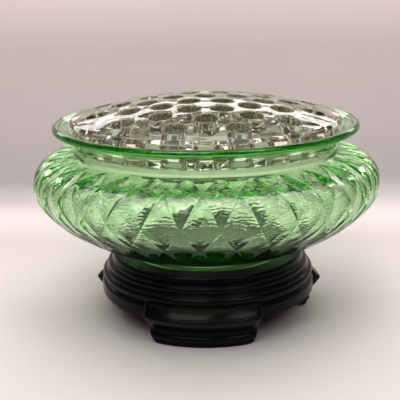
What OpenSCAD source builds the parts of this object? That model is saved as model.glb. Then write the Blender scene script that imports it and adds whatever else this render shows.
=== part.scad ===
// Flower frog set: a pierced glass dome in a squat glass bowl on a stepped glass plinth.
// The origin is the centre of the plinth's underside, +Z is up, and -Y is the front.

/* [Plinth] */
// Diameter of the plinth's drum above its feet
plinth_d = 139; // [136:1:142]
// Height of the seat that the bowl stands on
seat_h = 41.5; // [38:0.5:46]
// Diameter of the sunk seat for the bowl's foot
seat_d = 104; // [103:0.5:106]
// Height of the drum's lower edge between the feet
arch_h = 17; // [14:0.5:19]
// Width of a foot where it leaves the drum
foot_top_w = 71; // [64:1:74]
// Width of a foot on the table
foot_base_w = 64; // [56:1:66]
// Thickness of the plinth's walls
plinth_wall = 6; // [5:0.5:7]
// Turn of the three feet about the vertical axis, in degrees
feet_turn = -3.5; // [-30:0.5:30]

/* [Bowl] */
// Largest diameter of the bowl
bowl_d = 220; // [214:1:230]
// Outer diameter of the neck
neck_d = 167; // [165:0.5:168]
// Diameter over the rolled rim
rim_d = 193; // [192:0.5:198]
// Thickness of the bowl's wall
bowl_wall = 3.8; // [3.4:0.1:4.2]
// Diameter of the bowl's foot ring
bowl_foot_d = 100; // [96:0.5:101]

/* [Frog] */
// Diameter of the frog's outer edge
frog_d = 174; // [172:0.5:174]
// Diameter of the skirt that sits inside the neck
skirt_d = 154.5; // [150:0.5:156]
// Radius of the sphere that the dome is part of
dome_radius = 284; // [270:1:300]
// Diameter of a stem hole
hole_d = 14; // [10:0.5:14.5]
// Radius of the innermost ring of stem holes
ring_1_r = 20; // [19:0.5:21]
// Radius of the second ring of stem holes
ring_2_r = 37.5; // [37:0.5:38]
// Radius of the third ring of stem holes
ring_3_r = 53; // [52.5:0.5:53.5]
// Radius of the outermost ring of stem holes
ring_4_r = 68.5; // [68:0.5:69]

/* [Hidden] */

$fn = 128;
SPHERE_FN = 400;    // facets round a full turn of the dome's large sphere
CURVE_STEPS = 14;   // straight pieces along each curve of an outline
REST_GAP = 0.3;     // clearance under the frog's edge, where two curved faces meet

// Heights above the table
TOP_H = 142.5;              // top of the dome
DOME_EDGE_H = 128.6;        // top of the frog's outer wall
SKIRT_H = 112.5;            // bottom of the frog's skirt
RIM_H = seat_h + 83.4;      // middle of the rolled rim
NECK_H = seat_h + 67.5;     // foot of the neck
BELLY_H = seat_h + 48;      // level of the bowl's largest diameter

ROLL_R = 2.3;               // radius of the rolled rim
BOWL_R = bowl_d / 2;
NECK_R = neck_d / 2;
RIM_R = rim_d / 2 - ROLL_R; // to the middle of the roll
FOOT_RING_R = bowl_foot_d / 2;
FOOT_RING_W = 6;
FOOT_RING_H = 2.2;
FLOOR_H = seat_h + 4.9;     // middle of the bowl's inside floor

DRUM_R = plinth_d / 2;
LEDGE_R = DRUM_R + 5.5;     // how far the feet stand out at the top
DISH_R = 73;                // edge of the hollow under the dome
DISH_H = 12;                // depth of that hollow

// Each ring of stem holes: radius, number of holes, angle of the first hole from the front
HOLE_RINGS = [
    [0, 1, 0],
    [ring_1_r, 6, 30],
    [ring_2_r, 12, 15],
    [ring_3_r, 12, 0],
    [ring_4_r, 12, 15],
];

// A point on the cubic curve with end points a and d and handles b and c
function on_curve(a, b, c, d, t) =
    pow(1 - t, 3) * a + 3 * t * pow(1 - t, 2) * b + 3 * t * t * (1 - t) * c + pow(t, 3) * d;

// Points along that curve, without its first point
function curve(a, b, c, d, n = CURVE_STEPS) = [for (i = [1:n]) on_curve(a, b, c, d, i / n)];

// Points on an arc about a centre, from one angle to another
function arc(centre, r, from, to, n) =
    [for (i = [0:n]) centre + r * [cos(from + (to - from) * i / n), sin(from + (to - from) * i / n)]];

// ---------- plinth ----------

// Half section of the drum: a sunk seat, a rounded lip and three rounded steps outside, hollow below
module drum_section() {
    inner_r = DRUM_R - plinth_wall;
    polygon(concat(
        [[0, seat_h - 7.5], [0, seat_h], [seat_d / 2, seat_h]],
        arc([seat_d / 2 + 2.2, seat_h + 0.6], 2, 180, 90, 6),
        arc([DRUM_R - 9.5, seat_h + 0.1], 2.5, 90, 0, 6),
        arc([DRUM_R - 7.1, seat_h - 6.3], 3, 80, -10, 7),
        arc([DRUM_R - 3.8, seat_h - 12.3], 3.2, 75, -10, 7),
        arc([DRUM_R - 3, seat_h - 18.5], 3, 70, 0, 7),
        [[DRUM_R, arch_h + 1], [DRUM_R - 1, arch_h], [inner_r, arch_h]],
        curve([inner_r, arch_h], [inner_r, seat_h - 11], [DRUM_R - 7.2, seat_h - 7.5], [DRUM_R - 14.5, seat_h - 7.5])
    ));
}

// Half section of a foot: a knee, a face that slopes in, a bead and a flat base
module foot_section() {
    base_r = DRUM_R - 3;
    polygon(concat(
        [[DRUM_R - plinth_wall - 1.5, 0], [base_r, 0], [base_r, 3.2]],
        arc([base_r - 0.4, 5.6], 2.2, -60, 75, 6),
        curve([base_r + 0.2, 8], [base_r + 0.6, 12], [LEDGE_R - 3, 14.5], [LEDGE_R - 1, arch_h + 1.2]),
        arc([LEDGE_R - 1.4, arch_h + 2.6], 1.4, -60, 80, 5),
        curve([LEDGE_R - 1.2, arch_h + 4], [DRUM_R + 3.2, arch_h + 5.6],
              [DRUM_R + 1.7, arch_h + 8], [DRUM_R - 2, arch_h + 10.3]),
        [[DRUM_R - plinth_wall + 1, arch_h + 9], [DRUM_R - plinth_wall + 1, arch_h + 3]],
        [[DRUM_R - plinth_wall - 1.5, arch_h - 3]]
    ));
}

// Front view of a foot, with rounded lower corners
module foot_outline() {
    corner_r = 4;
    base = foot_base_w / 2;
    top = foot_top_w / 2;
    polygon(concat(
        arc([base - corner_r, corner_r], corner_r, -90, 15, 8),
        [[top, arch_h + 3.5], [top, 32], [-top, 32], [-top, arch_h + 3.5]],
        arc([corner_r - base, corner_r], corner_r, 165, 270, 8)
    ));
}

module foot() {
    intersection() {
        rotate_extrude()
            foot_section();
        rotate([90, 0, 0])
            linear_extrude(height = LEDGE_R + 5)
                foot_outline();
    }
}

module plinth() {
    color([0.05, 0.05, 0.05])
        union() {
            rotate([0, 0, feet_turn + 90])
                rotate_extrude()
                    drum_section();
            for (turn = [0:120:240])
                rotate([0, 0, feet_turn + turn])
                    foot();
        }
}

// ---------- bowl ----------

// Half section of the bowl, from the foot ring up the outside, over the rim and down the inside
module bowl_section() {
    inner_neck_r = NECK_R - bowl_wall + 0.1;
    inner_r = BOWL_R - bowl_wall;
    polygon(concat(
        [[0, seat_h + FOOT_RING_H], [FOOT_RING_R - FOOT_RING_W, seat_h + FOOT_RING_H]],
        [[FOOT_RING_R - FOOT_RING_W + 0.6, seat_h], [FOOT_RING_R - 0.6, seat_h]],
        [[FOOT_RING_R, seat_h + 0.8], [FOOT_RING_R, seat_h + 4.7]],
        curve([FOOT_RING_R, seat_h + 4.7], [FOOT_RING_R + 20, seat_h + 8.95],
              [BOWL_R, BELLY_H - 18.5], [BOWL_R, BELLY_H]),
        curve([BOWL_R, BELLY_H], [BOWL_R, BELLY_H + 14], [NECK_R + 13.5, NECK_H], [NECK_R + 0.5, NECK_H]),
        [[NECK_R, NECK_H + 0.8]],
        curve([NECK_R, NECK_H + 4], [NECK_R, NECK_H + 8.5],
              [RIM_R - 6, RIM_H - 5.6], [RIM_R - 0.4, RIM_H - ROLL_R]),
        arc([RIM_R, RIM_H], ROLL_R, -80, 95, 12),
        curve([RIM_R - 0.6, RIM_H + ROLL_R - 0.1], [RIM_R - 7, RIM_H - 2.3],
              [inner_neck_r, RIM_H - 5.9], [inner_neck_r, NECK_H + 4.5]),
        [[inner_neck_r, NECK_H - 0.6]],
        curve([inner_neck_r, NECK_H - 0.6], [inner_neck_r + 0.1, NECK_H - 3.1],
              [inner_neck_r + 2.7, NECK_H - 3.1], [inner_neck_r + 6.7, NECK_H - 4.1]),
        curve([inner_r - 7.7, BELLY_H + 11.7], [inner_r - 3.6, BELLY_H + 10.5],
              [inner_r, BELLY_H + 7], [inner_r, BELLY_H]),
        curve([inner_r, BELLY_H], [inner_r, BELLY_H - 12],
              [BOWL_R - 22, seat_h + 22.7], [FOOT_RING_R, FLOOR_H + 5.1]),
        curve([FOOT_RING_R, FLOOR_H + 5.1], [FOOT_RING_R - 12, FLOOR_H + 1.1],
              [FOOT_RING_R - 26, FLOOR_H], [6, FLOOR_H]),
        [[0, FLOOR_H]]
    ));
}

module bowl() {
    color([0.48, 0.78, 0.42])
        rotate_extrude()
            bowl_section();
}

// ---------- frog ----------

// Half section of the frog without its holes, taller than the dome that trims it
module frog_section() {
    edge_r = frog_d / 2;
    skirt_r = skirt_d / 2;
    seat_under_h = RIM_H - 2.05 + REST_GAP;
    polygon([
        [0, SKIRT_H], [skirt_r - 1.2, SKIRT_H], [skirt_r - 0.5, SKIRT_H + 0.7],
        [skirt_r, seat_under_h - 3.8], [edge_r - 0.6, seat_under_h - 0.2], [edge_r, seat_under_h + 0.5],
        [edge_r - 0.6, DOME_EDGE_H - 0.8], [edge_r - 1.4, DOME_EDGE_H + 0.2],
        [edge_r - 2.4, DOME_EDGE_H + 0.6], [edge_r - 2.4, TOP_H + 5], [0, TOP_H + 5],
    ]);
}

// The round of the dome's top
module dome() {
    translate([0, 0, TOP_H - dome_radius])
        sphere(r = dome_radius, $fn = SPHERE_FN);
}

// The shallow hollow under the dome
module dish() {
    dish_radius = (DISH_R * DISH_R + DISH_H * DISH_H) / (2 * DISH_H);
    translate([0, 0, SKIRT_H + DISH_H - dish_radius])
        sphere(r = dish_radius, $fn = SPHERE_FN);
}

module stem_holes() {
    for (ring = HOLE_RINGS)
        for (i = [0:ring[1] - 1])
            rotate([0, 0, ring[2] + i * 360 / ring[1]])
                translate([0, -ring[0], SKIRT_H - 5])
                    cylinder(d = hole_d, h = TOP_H - SKIRT_H + 10, $fn = 48);
}

module frog() {
    color([0.85, 0.85, 0.80])
        difference() {
            intersection() {
                rotate_extrude()
                    frog_section();
                dome();
            }
            dish();
            stem_holes();
        }
}

plinth();
bowl();
frog();
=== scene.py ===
import math
import random

import bmesh
import bpy
import numpy as np
from mathutils import Matrix, Vector
from mathutils.geometry import delaunay_2d_cdt


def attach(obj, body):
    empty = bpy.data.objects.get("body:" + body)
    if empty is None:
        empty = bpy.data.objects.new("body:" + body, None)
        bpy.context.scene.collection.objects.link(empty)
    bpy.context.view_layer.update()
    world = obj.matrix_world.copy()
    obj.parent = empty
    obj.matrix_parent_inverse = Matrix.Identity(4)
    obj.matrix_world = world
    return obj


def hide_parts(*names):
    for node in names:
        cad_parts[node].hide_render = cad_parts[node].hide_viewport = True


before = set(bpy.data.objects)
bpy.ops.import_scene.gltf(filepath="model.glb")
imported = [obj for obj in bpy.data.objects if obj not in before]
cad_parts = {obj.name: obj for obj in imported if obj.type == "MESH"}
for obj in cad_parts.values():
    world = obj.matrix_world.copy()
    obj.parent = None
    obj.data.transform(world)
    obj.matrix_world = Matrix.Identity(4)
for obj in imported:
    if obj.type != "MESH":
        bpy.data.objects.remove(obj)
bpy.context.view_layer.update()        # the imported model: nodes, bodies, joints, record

MM = 0.001               # profiles and plans are in millimetres, the scene is in metres
TAU = 2 * math.pi
GLASS_IOR = 1.52

# ---------------------------------------------------------------- camera and set

CAM_PLACE = (-4.29 * MM, -533.4 * MM, 221.0 * MM)
CAM_PITCH = 0.2690       # radians below the horizontal
CAM_ROLL = 0.0165        # radians, the object's right side a little higher
CAM_LENS, CAM_SENSOR = 76.5, 36.0   # mm

CURVE_Y, CURVE_R = 0.20, 0.14       # metres: where the floor starts to curve up, and its radius
SWEEP_FRONT, SWEEP_SIDE, SWEEP_TOP = -1.6, 2.2, 2.2
WIDE_HALF, WIDE_Z = 9.0, -0.0008     # the wide floor under the sweep


def make_camera():
    cam = bpy.data.cameras.new("camera")
    cam.sensor_width = CAM_SENSOR
    cam.sensor_fit = "HORIZONTAL"
    cam.lens = CAM_LENS
    cam.clip_end = 20.0
    obj = bpy.data.objects.new("camera", cam)
    bpy.context.scene.collection.objects.link(obj)
    obj.matrix_world = (Matrix.Translation(CAM_PLACE)
                        @ Matrix.Rotation(math.pi / 2 - CAM_PITCH, 4, "X")
                        @ Matrix.Rotation(-CAM_ROLL, 4, "Z"))
    bpy.context.scene.camera = obj


def new_object(name, verts, faces):
    """Smooth-shaded mesh object, linked to the scene."""
    mesh = bpy.data.meshes.new(name)
    mesh.from_pydata([tuple(v) for v in verts], [], faces)
    mesh.validate()
    mesh.update()
    mesh.polygons.foreach_set("use_smooth", [True] * len(mesh.polygons))
    obj = bpy.data.objects.new(name, mesh)
    bpy.context.scene.collection.objects.link(obj)
    return obj


def sheet_object(name, xs, prof):
    """Grid over xs that follows prof, a list of (y, z)."""
    verts = [(x, y, z) for y, z in prof for x in xs]
    n = len(xs)
    faces = [(j * n + i, j * n + i + 1, (j + 1) * n + i + 1, (j + 1) * n + i)
             for j in range(len(prof) - 1) for i in range(n - 1)]
    return new_object(name, verts, faces)


def make_sweep():
    """Floor that curves up into a backdrop."""
    prof = [(SWEEP_FRONT, 0.0)]
    prof += [(-1.2 + i * 0.1, 0.0) for i in range(14)]
    for i in range(33):
        a = math.radians(90 * i / 32)
        prof.append((CURVE_Y + CURVE_R * math.sin(a), CURVE_R - CURVE_R * math.cos(a)))
    prof.append((CURVE_Y + CURVE_R, SWEEP_TOP))
    return sheet_object("sweep", [-SWEEP_SIDE + i * 0.2 for i in range(23)], prof)


def make_floor():
    """Wide floor just under the sweep, for the views from the sides and the back."""
    n = 16
    xs = [-WIDE_HALF + 2 * WIDE_HALF * i / n for i in range(n + 1)]
    return sheet_object("wide_floor", xs, [(y, WIDE_Z) for y in xs])


def area_light(name, loc, aim, size, power, color):
    """Rectangular lamp at loc, facing aim."""
    data = bpy.data.lights.new(name, "AREA")
    data.shape = "RECTANGLE"
    data.size, data.size_y = size
    data.energy = power
    data.color = color
    obj = bpy.data.objects.new(name, data)
    bpy.context.scene.collection.objects.link(obj)
    obj.location = loc
    obj.rotation_euler = (Vector(aim) - Vector(loc)).to_track_quat("-Z", "Y").to_euler()


# ---------------------------------------------------------------- node helpers

def material(name):
    """New material: (material, node tree, Principled shader, output node)."""
    mat = bpy.data.materials.new(name)
    mat.use_nodes = True
    tree = mat.node_tree
    tree.nodes.clear()
    out = tree.nodes.new("ShaderNodeOutputMaterial")
    bsdf = tree.nodes.new("ShaderNodeBsdfPrincipled")
    tree.links.new(bsdf.outputs["BSDF"], out.inputs["Surface"])
    return mat, tree, bsdf, out


def noise(tree, coords, scale, detail=2.0):
    """Fac output of a noise texture."""
    node = tree.nodes.new("ShaderNodeTexNoise")
    node.inputs["Scale"].default_value = scale
    node.inputs["Detail"].default_value = detail
    tree.links.new(coords, node.inputs["Vector"])
    return node.outputs["Fac"]


def ramp(tree, source, stops):
    """Colour output of a ramp; a stop's value is a grey or a colour."""
    node = tree.nodes.new("ShaderNodeValToRGB")
    els = node.color_ramp.elements
    while len(els) > len(stops):
        els.remove(els[-1])
    while len(els) < len(stops):
        els.new(0.5)
    for el, (pos, col) in zip(els, stops):
        el.position = pos
        el.color = (*col, 1) if isinstance(col, tuple) else (col, col, col, 1)
    tree.links.new(source, node.inputs["Fac"])
    return node.outputs["Color"]


def times(tree, a, b):
    """Product of an output and a number or another output."""
    node = tree.nodes.new("ShaderNodeMath")
    node.operation = "MULTIPLY"
    tree.links.new(a, node.inputs[0])
    if isinstance(b, float):
        node.inputs[1].default_value = b
    else:
        tree.links.new(b, node.inputs[1])
    return node.outputs[0]


def times_color(tree, a, b):
    """Product of two colours."""
    node = tree.nodes.new("ShaderNodeMixRGB")
    node.blend_type = "MULTIPLY"
    node.inputs["Fac"].default_value = 1.0
    tree.links.new(a, node.inputs["Color1"])
    tree.links.new(b, node.inputs["Color2"])
    return node.outputs["Color"]


def object_coords(tree):
    return tree.nodes.new("ShaderNodeTexCoord").outputs["Object"]


def split(tree, coords):
    """Outputs X, Y and Z of a vector."""
    node = tree.nodes.new("ShaderNodeSeparateXYZ")
    tree.links.new(coords, node.inputs["Vector"])
    return node.outputs


def bump(tree, bsdf, height, strength, distance):
    node = tree.nodes.new("ShaderNodeBump")
    node.inputs["Strength"].default_value = strength
    node.inputs["Distance"].default_value = distance
    tree.links.new(height, node.inputs["Height"])
    tree.links.new(node.outputs["Normal"], bsdf.inputs["Normal"])


def glass(name, density, color):
    """Clear refracting glass that absorbs light inside it; density is per metre."""
    mat, tree, bsdf, out = material(name)
    bsdf.inputs["Transmission Weight"].default_value = 1.0
    bsdf.inputs["IOR"].default_value = GLASS_IOR
    vol = tree.nodes.new("ShaderNodeVolumeAbsorption")
    vol.inputs["Density"].default_value = density
    vol.inputs["Color"].default_value = (*color, 1)
    tree.links.new(vol.outputs["Volume"], out.inputs["Volume"])
    return mat, tree, bsdf


# ---------------------------------------------------------------- materials

def green_glass():
    mat, tree, bsdf = glass("green_glass", 75.0, (0.22, 0.845, 0.02))
    # base colour is white: the absorption gives the green
    bsdf.inputs["Base Color"].default_value = (1, 1, 1, 1)
    # chill wrinkles: contour-like ripples a few millimetres apart, strongest in patches
    co = object_coords(tree)
    wave = tree.nodes.new("ShaderNodeTexWave")
    wave.bands_direction = "Z"
    for socket, value in (("Scale", 150.0), ("Distortion", 11.0), ("Detail", 2.0),
                          ("Detail Scale", 1.0)):
        wave.inputs[socket].default_value = value
    tree.links.new(co, wave.inputs["Vector"])
    patches = ramp(tree, noise(tree, co, 26.0), [(0.35, 0.35), (0.65, 1.0)])
    # by height (Z x 8): full round the shoulder, weak below it, almost none on the neck and rim
    shoulder = ramp(tree, times(tree, split(tree, co)["Z"], 8.0),
                    [(0.0, 0.2), (0.60, 0.2), (0.71, 1.0), (0.832, 1.0), (0.872, 0.05)])
    height = times(tree, times(tree, wave.outputs["Fac"], patches), shoulder)
    bump(tree, bsdf, height, 0.34, 0.0002)
    polish = ramp(tree, noise(tree, co, 40.0), [(0.3, 0.004), (0.8, 0.03)])
    tree.links.new(polish, bsdf.inputs["Roughness"])
    return mat


def clear_glass():
    mat, tree, bsdf = glass("clear_glass", 17.0, (0.55, 0.45, 0.26))
    co = object_coords(tree)
    bump(tree, bsdf, noise(tree, co, 90.0, 3.0), 0.3, 0.0004)
    polish = ramp(tree, noise(tree, co, 60.0), [(0.3, 0.005), (0.8, 0.04)])
    tree.links.new(polish, bsdf.inputs["Roughness"])
    return mat


def black_glass():
    mat, tree, bsdf, _ = material("black_glass")
    tone = noise(tree, object_coords(tree), 18.0, 4.0)
    color = ramp(tree, tone, [(0.3, (0.0022, 0.0022, 0.002)), (0.75, (0.006, 0.0055, 0.005))])
    tree.links.new(color, bsdf.inputs["Base Color"])
    polish = ramp(tree, tone, [(0.3, 0.15), (0.75, 0.28)])
    tree.links.new(polish, bsdf.inputs["Roughness"])
    bsdf.inputs["IOR"].default_value = 1.5
    bsdf.inputs["Specular IOR Level"].default_value = 0.15
    return mat


def paper():
    """The set's pale paper, with painted shade and a painted bright band by height up the
    backdrop, and painted shade on the floor a little behind the object.
    """
    mat, tree, bsdf, out = material("sweep_paper")
    co = object_coords(tree)
    grain = ramp(tree, noise(tree, co, 3.0, 5.0),
                 [(0.3, (0.865, 0.80, 0.80)), (0.7, (0.885, 0.82, 0.82))])
    place = split(tree, co)
    # painted shade and light by height: darker where the floor curves up, a painted bright band on
    # the wall about 19 cm up, darker again above it
    up = ramp(tree, times(tree, place["Z"], 2.5),
              [(0.0, 0.99), (0.0175, 0.74), (0.05, (0.52, 0.515, 0.515)),
               (0.09, (0.54, 0.53, 0.53)), (0.25, (0.68, 0.66, 0.66)),
               (0.475, (0.95, 0.92, 0.92)), (0.50, (0.88, 0.85, 0.85)),
               (0.62, (0.36, 0.35, 0.35)), (1.0, (0.30, 0.29, 0.29))])
    # painted shade: the floor a little behind the object is up to 13% darker
    behind = ramp(tree, place["Y"], [(0.03, 1.0), (0.14, 0.87), (0.22, 1.0)])
    color = times_color(tree, times_color(tree, grain, behind), up)
    tree.links.new(color, bsdf.inputs["Base Color"])
    bsdf.inputs["Roughness"].default_value = 0.9
    bsdf.inputs["Specular IOR Level"].default_value = 0.1
    # far from the lamps the floor glows a little, so that it stays pale to its end
    geo = tree.nodes.new("ShaderNodeNewGeometry")
    reach = tree.nodes.new("ShaderNodeVectorMath")
    reach.operation = "LENGTH"
    glow = tree.nodes.new("ShaderNodeMapRange")
    glow.interpolation_type = "SMOOTHSTEP"
    for socket, value in (("From Min", 1.0), ("From Max", 2.1), ("To Min", 0.0), ("To Max", 0.5)):
        glow.inputs[socket].default_value = value
    tree.links.new(geo.outputs["Position"], reach.inputs[0])
    tree.links.new(reach.outputs["Value"], glow.inputs["Value"])
    tree.links.new(glow.outputs["Result"], bsdf.inputs["Emission Strength"])
    bsdf.inputs["Emission Color"].default_value = (0.865, 0.80, 0.79, 1.0)
    # the paper is clear from behind, so that the back of the object can be seen
    clear = tree.nodes.new("ShaderNodeBsdfTransparent")
    mix = tree.nodes.new("ShaderNodeMixShader")
    tree.links.new(geo.outputs["Backfacing"], mix.inputs["Fac"])
    tree.links.new(bsdf.outputs["BSDF"], mix.inputs[1])
    tree.links.new(clear.outputs["BSDF"], mix.inputs[2])
    tree.links.new(mix.outputs["Shader"], out.inputs["Surface"])
    return mat


# ---------------------------------------------------------------- shared curves (mm)

def bezier(p0, p1, p2, p3, n):
    """n points of the cubic, without its first one."""
    out = []
    for i in range(1, n + 1):
        t = i / n
        a, b, c, d = (1 - t) ** 3, 3 * (1 - t) ** 2 * t, 3 * (1 - t) * t * t, t ** 3
        out.append((a * p0[0] + b * p1[0] + c * p2[0] + d * p3[0],
                    a * p0[1] + b * p1[1] + c * p2[1] + d * p3[1]))
    return out


def arc(cx, cz, r, a0, a1, n):
    """n + 1 points round (cx, cz), from a0 to a1 degrees."""
    return [(cx + r * math.cos(math.radians(a0 + (a1 - a0) * i / n)),
             cz + r * math.sin(math.radians(a0 + (a1 - a0) * i / n))) for i in range(n + 1)]


class Path:
    """A profile in (radius, height), walked by its length."""

    def __init__(self, pts):
        self.p = np.array(pts, float)
        seg = np.hypot(*np.diff(self.p, axis=0).T)
        self.s = np.r_[0.0, np.cumsum(seg)]
        self.length = self.s[-1]

    def at(self, s):
        """The point that is s mm along."""
        return (np.interp(s, self.s, self.p[:, 0]), np.interp(s, self.s, self.p[:, 1]))

    def normal(self, s, h=0.4):
        """The direction square to the profile there, from the points h mm to each side."""
        (r0, z0), (r1, z1) = self.at(max(s - h, 0)), self.at(min(s + h, self.length))
        d = math.hypot(r1 - r0, z1 - z0) or 1
        return (z1 - z0) / d, -(r1 - r0) / d


# ---------------------------------------------------------------- the bowl

PANELS = 32              # facets round the belly
PHASE = 0.4              # of one facet, where a peak stands from the front
HOLLOWS = [0.0, 1.4, 1.1, 0.75, 0.4, 0.2]   # mm that a facet's middle lies below its edges, by row
TWIST = -0.05            # of one facet, that the pattern leans per row
FACET_W = 17.0           # mm across a facet, between opposite edges
BEAD = 0.14              # mm that the facets' edges stand proud
CELL = [0, 0.018, 0.05, 0.10, 0.17, 0.25, 0.333, 0.416, 0.5]
CELL = CELL + [1 - c for c in CELL[-2:0:-1]]    # steps across one facet, finer at its edges
LEVEL_S = [0.6, 17.6, 39.4, 57.0, 76.0, 96.0]   # mm down the wall, at each row of crossings
ROWS = len(LEVEL_S) - 1
BASE_IN_Z, BASE_OUT_Z = 46.4, 43.7    # mm, the middle of the bowl's floor, inside and below
RIPPLE = 0.16            # mm, how far the inner wall waves


def smooth_noise(seed, count, lo, hi):
    """Seeded waves of lo to hi mm through space, summed: f(x, y, z) in about -1..1."""
    rnd = random.Random(seed)
    waves = []
    for _ in range(count):
        k = rnd.uniform(lo, hi)
        v = Vector((rnd.gauss(0, 1), rnd.gauss(0, 1), rnd.gauss(0, 1))).normalized() * (TAU / k)
        waves.append((v.x, v.y, v.z, rnd.uniform(0, TAU)))

    def f(x, y, z):
        return sum(math.sin(a * x + b * y + c * z + d) for a, b, c, d in waves) / math.sqrt(count)
    return f


def make_bowl():
    """One closed wall: cut panels outside, then the rim, the smooth inside and the foot."""
    wall = Path([(84, 109)] + bezier((84, 109), (97, 109), (110, 103.5), (110, 89.5), 200)
                + bezier((110, 89.5), (110, 71), (70, 50.45), (50, 46.2), 260))
    n = len(CELL)
    period = 2 * PANELS * n
    verts, index = [], {}

    def s_of(row):
        """How far down the wall a row of crossings is."""
        return float(np.interp(row, np.arange(ROWS + 1), LEVEL_S))

    def theta(u):
        return (u + PHASE) * TAU / PANELS

    def place(u, r, z):
        t = theta(u)
        return (r * math.sin(t), -r * math.cos(t), z)

    def vert(P, Q):
        """Point where the P-th line leaning one way crosses the Q-th leaning the other."""
        key = (P - Q, (P + Q) % period)
        if key in index:
            return index[key]
        a, i = divmod(P, n)
        b, j = divmod(Q, n)
        fp, fq = CELL[i], CELL[j]
        p, q = a + fp, b + fq
        u, row = (p + q) / 2, p - q
        s = s_of(min(max(row, 0), ROWS))
        r, z = wall.at(s)
        # the hollow is full in the middle of the facet, where the product is 1/16
        depth = HOLLOWS[min(a - b, ROWS)] * 16 * fp * (1 - fp) * fq * (1 - fq)
        # a fine raised line along the facets' edges, which fades out at the first and last rows
        near = FACET_W * min(fp, 1 - fp, fq, 1 - fq)
        ends = min(1.0, max(0.0, row) / 0.12) * min(1.0, max(0.0, 4.6 - row) / 0.5)
        depth += ends * (BEAD - BEAD * math.exp(-(near / 0.5) ** 2))
        nr, nz = wall.normal(s)
        index[key] = len(verts)
        verts.append(place(u + TWIST * row, r + nr * depth, z + nz * depth))
        return index[key]

    # whole facets, and half ones where the pattern starts and ends
    faces = []
    for c in range(ROWS + 1):
        for b in range(PANELS):
            a = b + c
            for i in range(n):
                for j in range(n):
                    P, Q = a * n + i, b * n + j
                    quad = [vert(P, Q), vert(P + 1, Q), vert(P + 1, Q + 1), vert(P, Q + 1)]
                    if c == 0:
                        if i < j:
                            continue
                        if i == j:
                            quad = quad[:3]
                    elif c == ROWS:
                        if i > j:
                            continue
                        if i == j:
                            quad = [quad[0], quad[2], quad[3]]
                    faces.append(quad)
    count = PANELS * n
    top_ring = [vert(k, k) for k in range(count)]
    low_ring = [vert(k + ROWS * n, k) for k in range(count)]
    top_u = [k // n + CELL[k % n] for k in range(count)]
    low_u = [v + ROWS / 2 + ROWS * TWIST for v in top_u]
    wob = smooth_noise(7, 24, 9, 22)
    fine = smooth_noise(11, 20, 5, 9)

    def rings(start, us, prof, ripple=0.0):
        """Rings of points down prof: their pairs, from start on, and the last ring."""
        prev = start
        out = []
        for k, (r, z) in enumerate(prof):
            ring = []
            fade = min(1, k / 4, (len(prof) - 1 - k) / 4) if ripple else 0
            for u in us:
                x, y, zz = place(u, r, z)
                if fade:
                    # the floor waves most, the wall just above it least
                    calm = 1.4 if r < 50 else 0.45 if z < 74 else min(1.0, 0.45 + (z - 74) / 12)
                    d = ripple * fade * calm * (0.7 * wob(x, y, zz) + 0.3 * fine(x, y, zz))
                    nr, nz = prof_normal(prof, k)
                    t = theta(u)
                    x += nr * d * math.sin(t)
                    y -= nr * d * math.cos(t)
                    zz += nz * d
                ring.append(len(verts))
                verts.append((x, y, zz))
            out.append((prev, ring))
            prev = ring
        return out, prev

    def prof_normal(prof, k):
        (r0, z0), (r1, z1) = prof[max(k - 1, 0)], prof[min(k + 1, len(prof) - 1)]
        d = math.hypot(r1 - r0, z1 - z0) or 1
        return (z1 - z0) / d, -(r1 - r0) / d

    def bridge(pairs, flip):
        for a, b in pairs:
            for k in range(count):
                m = (k + 1) % count
                q = [a[k], a[m], b[m], b[k]]
                faces.append(q[::-1] if flip else q)

    # up: neck, flare, rolled rim, then down inside to the floor
    s0 = s_of(0)
    shoulder = [wall.at(s0 * (1 - i / 4)) for i in range(1, 5)]
    up = shoulder + [(83.7, 109.35), (83.55, 109.9)]
    up += bezier((83.5, 110.4), (83.5, 113.5), (83.7, 116.5), (86.4, 118.6), 12)
    up += bezier((86.4, 118.6), (88.6, 120.1), (91.2, 121.3), (93.9, 122.65), 10)
    up += arc(94.2, 124.9, 2.3, -78, 95, 16)
    up += bezier(up[-1], (88.5, 122.9), (79.8, 119.3), (79.8, 113.5), 22)
    up += [(79.8, 112), (79.8, 110.4), (79.8, 109.2), (79.8, 108.4)]
    inner = bezier((79.8, 108.4), (79.9, 105.9), (82.5, 105.3), (86.5, 104.3), 12)
    inner += [(86.5 + 12 * i / 10, 104.3 - 2.95 * i / 10) for i in range(1, 11)]
    inner += bezier((98.5, 101.35), (102.6, 100.1), (106.2, 96.5), (106.2, 89.5), 18)
    inner += bezier((106.2, 89.5), (106.2, 77.5), (88, 64.2), (50, 51.5), 52)
    inner += bezier((50, 51.5), (38, 47.5), (24, BASE_IN_Z), (6, BASE_IN_Z), 12)
    inner += [(3, BASE_IN_Z)]
    pairs, last = rings(top_ring, top_u, up)
    bridge(pairs, True)
    pairs, last = rings(last, top_u, inner, ripple=RIPPLE)
    bridge(pairs, True)
    mid = len(verts)
    verts.append((0, 0, BASE_IN_Z))
    faces += [[last[k], last[(k + 1) % count], mid][::-1] for k in range(count)]
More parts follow.
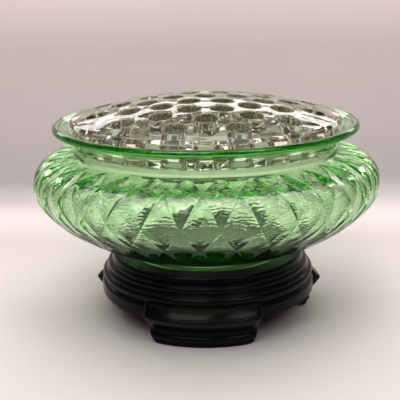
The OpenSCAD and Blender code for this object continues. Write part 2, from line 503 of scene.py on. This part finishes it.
    # down: foot ring and underside
    s_low = s_of(ROWS)
    down = [wall.at(s_low + (wall.length - 1.5 - s_low) * i / 9) for i in range(1, 10)]
    down += bezier(down[-1], (50.7, 46.35), (50.05, 46.1), (50.05, 45.0), 5)
    down += [(50.05, 43.6)]
    down += arc(49.25, 42.3, 0.8, 0, -90, 5)
    down += [(48.4, 41.5), (46.6, 41.5), (45.4, 41.5)] + arc(44.9, 42.1, 0.6, -90, -170, 4)
    down += bezier((44.1, 43.2), (44.0, 44.8), (43.0, 45.5), (41.0, 45.2), 8)
    down += bezier((41.0, 45.2), (35, 44.3), (24, BASE_OUT_Z), (6, BASE_OUT_Z), 12)
    pairs, last = rings(low_ring, low_u, down)
    bridge(pairs, False)
    mid = len(verts)
    verts.append((0, 0, BASE_OUT_Z))
    faces += [[last[k], last[(k + 1) % count], mid] for k in range(count)]
    obj = new_object("glass_bowl", [(x * MM, y * MM, z * MM) for x, y, z in verts], faces)
    clean(obj)
    return obj


def clean(obj):
    """Drop loose points, merge doubles, face the normals outwards."""
    bm = bmesh.new()
    bm.from_mesh(obj.data)
    bmesh.ops.delete(bm, geom=[v for v in bm.verts if not v.link_faces], context="VERTS")
    bmesh.ops.remove_doubles(bm, verts=bm.verts, dist=1e-7)
    bmesh.ops.recalc_face_normals(bm, faces=bm.faces)
    open_edges = sum(1 for e in bm.edges if len(e.link_faces) != 2)
    if bm.calc_volume(signed=True) < 0:
        bmesh.ops.reverse_faces(bm, faces=bm.faces)
    print(obj.name, "verts", len(bm.verts), "faces", len(bm.faces), "open edges", open_edges,
          "volume ml", round(bm.calc_volume() * 1e6, 1))
    bm.to_mesh(obj.data)
    bm.free()
    obj.data.update()


# ---------------------------------------------------------------- the frog

HOLE_R = 7.0
HOLE_SEGS = 56
# rings of holes: radius, count, degrees from the front to the first
RINGS = [(0, 1, 0), (20, 6, 30), (37.5, 12, 15), (53, 12, 0), (68.5, 12, 15)]
TOP_R, LOW_R = 84.0, 75.9       # mm, the edges of the dome's top and of the underside
DOME_R, DOME_TOP = 284.0, 142.5
DISH_R, DISH_H, SKIRT_Z = 73.0, 12.0, 112.5
DISH_RAD = (DISH_R ** 2 + DISH_H ** 2) / (2 * DISH_H)
LIP = 0.9                # mm that a hole's upper edge is rounded by
LOW_LIP = 0.35           # and its lower edge, inside the flat skirt
WAVES = 0.15             # mm, how far the top's skin waves
MARKS = 0.36             # mm, how far the draw marks stand in the holes


def dome_z(r):
    """Height of the dome's top."""
    return DOME_TOP - DOME_R + math.sqrt(DOME_R ** 2 - r * r)


def dish_z(r):
    """Height of the underside: a dish, then the flat skirt."""
    if r >= DISH_R:
        return SKIRT_Z
    return SKIRT_Z + DISH_H - DISH_RAD + math.sqrt(DISH_RAD ** 2 - r * r)


def holes():
    """Centres of the 43 stem holes."""
    for r, n, a0 in RINGS:
        for i in range(n):
            t = math.radians(a0 + i * 360 / n)
            yield r * math.sin(t), -r * math.cos(t)


def plan(outer, spacing, lip, seed):
    """Flat triangulation of a disc with the holes cut out, finer round each hole:
    points, triangles, the rim's points, and five rings of points round each hole."""
    pts, edges = [], []
    centres = list(holes())

    def ring(cx, cy, r, n):
        base = len(pts)
        for i in range(n):
            t = TAU * i / n
            pts.append((cx + r * math.cos(t), cy + r * math.sin(t)))
        edges.extend((base + i, base + (i + 1) % n) for i in range(n))
        return list(range(base, base + n))

    rim = ring(0, 0, outer, 360)
    inner_rings = []
    steps = [0, 0.15, 0.4, 0.75, 1.0]
    for cx, cy in centres:
        inner_rings.append([ring(cx, cy, HOLE_R + lip * f, HOLE_SEGS) for f in steps])
    # points just inside the rim, but not on the holes, whose edges they would split
    for i in range(360):
        t = TAU * (i + 0.5) / 360
        x, y = (outer - 1.0) * math.cos(t), (outer - 1.0) * math.sin(t)
        if all(math.hypot(x - cx, y - cy) > HOLE_R + lip + 0.5 for cx, cy in centres):
            pts.append((x, y))
    rnd = random.Random(seed)
    h = spacing * math.sqrt(3) / 2
    rows = int(outer / h) + 1
    for j in range(-rows, rows + 1):
        for i in range(-rows * 2, rows * 2 + 1):
            x = (i + 0.5 * (j % 2)) * spacing + rnd.uniform(-0.12, 0.12)
            y = j * h + rnd.uniform(-0.12, 0.12)
            if math.hypot(x, y) > outer - 2.8:
                continue
            if any(math.hypot(x - cx, y - cy) < HOLE_R + lip + spacing * 0.55
                   for cx, cy in centres):
                continue
            pts.append((x, y))
    v, _, f, ov, _, _ = delaunay_2d_cdt([Vector(p) for p in pts], edges, [], 1, 1e-5)
    tris = []
    open_r = HOLE_R * 0.9996 * math.cos(math.pi / HOLE_SEGS)
    for tri in f:
        mx = sum(v[k].x for k in tri) / 3
        my = sum(v[k].y for k in tri) / 3
        if any(math.hypot(mx - cx, my - cy) < open_r for cx, cy in centres):
            continue
        tris.append(tuple(tri))
    back = {}
    for new, olds in enumerate(ov):
        for o in olds:
            back[o] = new
    rings_new = [[[back[k] for k in rg] for rg in rr] for rr in inner_rings]
    return [(p.x, p.y) for p in v], tris, [back[k] for k in rim], rings_new


def band(a, b):
    """Quads between two closed rings of the same count."""
    n = len(a)
    return [(a[i], b[i], b[(i + 1) % n], a[(i + 1) % n]) for i in range(n)]


def make_frog():
    verts, faces = [], []
    centres = list(holes())
    wavy = smooth_noise(21, 26, 7, 20)
    crisp = smooth_noise(22, 26, 6, 14)

    def lip_drop(x, y, lip):
        """How far the surface rolls over into a hole here."""
        for cx, cy in centres:
            d = math.hypot(x - cx, y - cy) - HOLE_R
            if d < lip - 1e-9:
                d = max(d, 0.0)
                return lip - math.sqrt(max(lip * lip - (lip - d) ** 2, 0.0))
        return 0.0

    # top
    v, tris, rim_t, rings_t = plan(TOP_R, 2.3, LIP, 3)
    for x, y in v:
        r = math.hypot(x, y)
        z = dome_z(r) - lip_drop(x, y, LIP)
        if r < TOP_R - 0.5:
            z -= WAVES * (1.2 + wavy(x, y, 0)) * min(1, (TOP_R - 0.5 - r) / 3)
        verts.append((x, y, z))
    faces += [tuple(t) for t in tris]
    off = len(verts)
    # underside
    v, tris, rim_b, rings_b = plan(LOW_R, 2.6, LOW_LIP, 5)
    for x, y in v:
        r = math.hypot(x, y)
        z = dish_z(r) + (lip_drop(x, y, LOW_LIP) if r < 70 else 0.0)
        if r < 70:
            z += 0.16 * crisp(x, y, 0) * min(1, (70 - r) / 6)
        verts.append((x, y, z))
    faces += [(off + a, off + c, off + b) for a, b, c in tris]
    rim_b = [off + k for k in rim_b]
    rings_b = [[[off + k for k in rg] for rg in rr] for rr in rings_b]
    # the holes' walls, with faint draw marks
    rnd = random.Random(9)
    rows = 9
    for (cx, cy), rt, rb in zip(centres, rings_t, rings_b):
        marks = [(rnd.randint(5, 20), rnd.uniform(0, 6.28), rnd.uniform(0.2, 1))
                 for _ in range(5)]
        prev = rt[0]
        for k in range(1, rows):
            f = k / rows
            ring = []
            for i in range(HOLE_SEGS):
                t = TAU * i / HOLE_SEGS
                za, zb = verts[rt[0][i]][2], verts[rb[0][i]][2]
                w = sum(a * math.sin(m * t + ph) for m, ph, a in marks) / 5
                r = HOLE_R + MARKS * w * math.sin(math.pi * f)
                ring.append(len(verts))
                verts.append((cx + r * math.cos(t), cy + r * math.sin(t), za + (zb - za) * f))
            faces += band(prev, ring)
            prev = ring
        faces += band(prev, rb[0])
    # outside: rounded shoulder, wall, flange on the bowl's flare, skirt
    n = len(rim_t)
    edge = bezier((TOP_R, dome_z(TOP_R)), (85.3, 128.7), (86.2, 128.2), (86.45, 127.0), 8)
    edge += [(86.6, 126.2), (86.75, 125.4), (86.9, 124.6)]
    edge += bezier((86.9, 124.6), (87.0, 124.0), (87.0, 123.4), (86.3, 123.0), 5)
    edge += [(85.0, 122.45), (83.0, 121.65), (81.0, 120.85), (79.0, 120.05)]
    edge += bezier((79.0, 120.05), (77.9, 119.6), (77.3, 119.4), (77.25, 118.7), 5)
    edge += [(77.2, 117.9), (77.1, 116.4), (77.0, 115.0), (76.9, 114.0)]
    edge += bezier((76.9, 114.0), (76.85, 113.3), (76.6, 112.6), (76.2, 112.5), 4)
    prev = rim_t
    for r, z in edge:
        ring = []
        for i in range(n):
            t = TAU * i / n
            ring.append(len(verts))
            verts.append((r * math.cos(t), r * math.sin(t), z))
        faces += band(prev, ring)
        prev = ring
    faces += band(prev, rim_b)
    obj = new_object("glass_frog", [(x * MM, y * MM, z * MM) for x, y, z in verts], faces)
    clean(obj)
    return obj


# ---------------------------------------------------------------- the plinth

FEET_TURN = -3.5         # degrees from the front, towards +X positive
FOOT_BASE, FOOT_TOP = 32.0, 35.5    # mm, half widths
FOOT_CORNER = 4.0        # mm, radius of a foot's lower corners
FOOT_ROUND = 2.2         # mm that a foot's face rounds off towards its sides
FOOT_TOP_Z = 20.5
FOOT_BACK_R = 62.0
DRUM_Z = 41.5            # the drum's top, which the bowl's foot ring stands on
HOLLOW_Z = 34.0


def revolve(name, prof, segs):
    """Closed body of revolution; the profile starts and ends on the axis."""
    verts = [(0, 0, prof[0][1])]
    faces = []
    prev = None
    for r, z in prof[1:-1]:
        base = len(verts)
        verts += [(r * math.sin(TAU * i / segs), -r * math.cos(TAU * i / segs), z)
                  for i in range(segs)]
        for i in range(segs):
            m = (i + 1) % segs
            if prev is None:
                faces.append((0, base + i, base + m))
            else:
                faces.append((prev + i, base + i, base + m, prev + m))
        prev = base
    verts.append((0, 0, prof[-1][1]))
    faces += [(prev + i, len(verts) - 1, prev + (i + 1) % segs) for i in range(segs)]
    return new_object(name, [(x * MM, y * MM, z * MM) for x, y, z in verts], faces)


def rounded(pts, radius, n=4):
    """Round each inner corner of an open polyline that turns more than 20 degrees."""
    out = [pts[0]]
    for a, b, c in zip(pts, pts[1:], pts[2:]):
        u, v = np.subtract(a, b), np.subtract(c, b)
        lu, lv = np.hypot(*u), np.hypot(*v)
        turn = 180 - math.degrees(math.acos(max(-1, min(1, float(u @ v) / (lu * lv)))))
        if turn < 20:
            out.append(tuple(b))
            continue
        d = min(radius, 0.45 * lu, 0.45 * lv)
        p, q = b + u / lu * d, b + v / lv * d
        for i in range(n + 1):
            t = i / n
            out.append(tuple((1 - t) ** 2 * p + 2 * t * (1 - t) * np.array(b) + t * t * q))
    out.append(pts[-1])
    return out


def drum_profile():
    """(radius, height) from the drum's top over its lip and steps, and up into its hollow."""
    prof = [(r, DRUM_Z) for r in (0, 12, 24, 36, 46, 51.4)]
    prof += arc(53.6, 43.0, 1.3, 180, 75, 8)
    prof += [(57.0, 43.5)]
    prof += arc(59.6, 40.6, 2.5, 80, 0, 10)
    prof += arc(62.4, 35.2, 3.0, 80, -10, 12)
    prof += arc(65.7, 29.2, 3.2, 75, -10, 12)
    prof += arc(66.5, 23.0, 3.0, 70, 0, 10)
    prof += [(69.5, 21), (69.5, 18)] + arc(68.7, 17.8, 0.8, 0, -90, 5)
    prof += [(66, 17), (64, 17), (63.5, 17.6)]
    prof += bezier((63.5, 17.6), (63.5, 30.5), (62.3, HOLLOW_Z), (55, HOLLOW_Z), 18)
    prof += [(r, HOLLOW_Z) for r in (45, 34, 22, 10, 0)]
    return rounded(prof, 0.5)


def foot_outer():
    """(radius, height) of a foot's face, from the table up."""
    pts = [(65.7, 0.0), (66.2, 0.15), (66.5, 0.6), (66.5, 2.0), (66.5, 3.2)]
    pts += arc(66.1, 5.6, 2.2, -60, 75, 12)
    pts += bezier((66.7, 8), (67.1, 12), (72.0, 14.5), (74.0, 18.2), 16)
    pts += arc(73.6, 19.6, 1.4, -60, 80, 8)
    pts += bezier((73.8, 21), (72.7, 22.6), (71.2, 25), (67.5, 27.3), 12)
    return Path(rounded(pts, 0.5))


def foot_half_width(z):
    corner = FOOT_CORNER
    if z < corner:
        return FOOT_BASE - corner + math.sqrt(corner ** 2 - (corner - z) ** 2)
    if z < FOOT_TOP_Z:
        return FOOT_BASE + (FOOT_TOP - FOOT_BASE) * (z - corner) / (FOOT_TOP_Z - corner)
    return FOOT_TOP


def make_foot(turn):
    face = foot_outer()
    verts, faces, loops = [], [], []
    steps = 64
    edge = FOOT_ROUND
    for k in range(steps + 1):
        s = face.length * k / steps
        ro, z = face.at(s)
        ri = FOOT_BACK_R if z < 14 else FOOT_BACK_R + 2.5 * min(1, (z - 14) / 6)
        w = foot_half_width(float(z))
        loop = []
        # front, left to right, with rounded ends
        xs = [-w]
        xs += [-w + edge * (1 - math.cos(math.radians(a))) for a in (15, 30, 45, 60, 75, 90)]
        xs += [(-w + edge) + (2 * (w - edge)) * i / 30 for i in range(1, 31)]
        xs += [w - edge * (1 - math.cos(math.radians(a))) for a in (75, 60, 45, 30, 15)] + [w]
        for x in xs:
            d = max(0.0, abs(x) - (w - edge)) / edge
            drop = edge * (1 - math.sqrt(max(0.0, 1 - d * d)))
            loop.append((x, -(math.sqrt(ro * ro - x * x) - drop)))
        back = [w * (1 - 2 * i / 24) for i in range(25)]
        loop += [(x, -math.sqrt(ri * ri - x * x)) for x in back]
        ids = []
        for x, y in loop:
            c, sn = math.cos(turn), math.sin(turn)
            ids.append(len(verts))
            verts.append((x * c - y * sn, x * sn + y * c, float(z)))
        if loops:
            prev = loops[-1]
            m = len(ids)
            faces += [(prev[i], prev[(i + 1) % m], ids[(i + 1) % m], ids[i]) for i in range(m)]
        loops.append(ids)
    faces.append(tuple(reversed(loops[0])))
    faces.append(tuple(loops[-1]))
    return new_object("foot", [(x * MM, y * MM, z * MM) for x, y, z in verts], faces)


def make_plinth():
    """The turned drum, with the three feet joined to it."""
    drum = revolve("glass_plinth", drum_profile(), 300)
    clean(drum)
    for k in range(3):
        foot = make_foot(math.radians(FEET_TURN + 120 * k))
        clean(foot)
        mod = drum.modifiers.new("join", "BOOLEAN")
        mod.operation = "UNION"
        mod.solver = "EXACT"
        mod.object = foot
        bpy.context.view_layer.update()
        joined = drum.evaluated_get(bpy.context.evaluated_depsgraph_get())
        done = bpy.data.meshes.new_from_object(joined)
        drum.modifiers.clear()
        old = drum.data
        drum.data = done
        bpy.data.meshes.remove(old)
        bpy.data.objects.remove(foot, do_unlink=True)
    drum.data.polygons.foreach_set("use_smooth", [True] * len(drum.data.polygons))
    clean(drum)
    drum.data.set_sharp_from_angle(angle=math.radians(32))
    return drum


# ---------------------------------------------------------------- build

make_camera()
sweep = make_sweep()
sweep.data.materials.append(paper())
wide_floor = make_floor()
wide_floor.data.materials.append(sweep.data.materials[0])

bowl = make_bowl()
bowl.data.materials.append(green_glass())
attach(bowl, "bowl")
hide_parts("bowl")

frog = make_frog()
frog.data.materials.append(clear_glass())
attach(frog, "frog")
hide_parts("frog")

plinth = make_plinth()
plinth.data.materials.clear()
plinth.data.materials.append(black_glass())
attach(plinth, "plinth")
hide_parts("plinth")

# name, place, aim, size, watts, colour
for lamp in (
        ("top_box", (0.0, -0.22, 1.05), (0, -0.05, 0), (1.2, 0.8), 6.2, (1.0, 0.985, 0.97)),
        ("front_box", (-0.40, -0.95, 1.20), (0, -0.05, 0.05), (0.9, 0.7), 7.8, (1.0, 0.98, 0.96)),
        ("right_box", (0.65, -0.80, 0.95), (0, -0.05, 0.05), (0.5, 0.4), 3.0, (1.0, 0.98, 0.96)),
        ("back_strip", (0.0, 0.26, 0.56), (0, -0.02, 0.12), (1.0, 0.22), 1.25, (1.0, 0.98, 0.96)),
        ("low_strip", (0.0, 0.325, 0.275), (0, 0.0, 0.16), (0.9, 0.07), 0.50, (1.0, 0.99, 0.97))):
    area_light(*lamp)

world = bpy.data.worlds.new("world")
bpy.context.scene.world = world
world.use_nodes = True
sky = world.node_tree.nodes["Background"]
sky.inputs["Color"].default_value = (0.5, 0.48, 0.46, 1)
sky.inputs["Strength"].default_value = 0.08

scene = bpy.context.scene
scene.view_settings.view_transform = "Standard"
scene.view_settings.gamma = 0.85
scene.cycles.max_bounces = 32
scene.cycles.transmission_bounces = 32
scene.cycles.glossy_bounces = 16
scene.cycles.transparent_max_bounces = 16
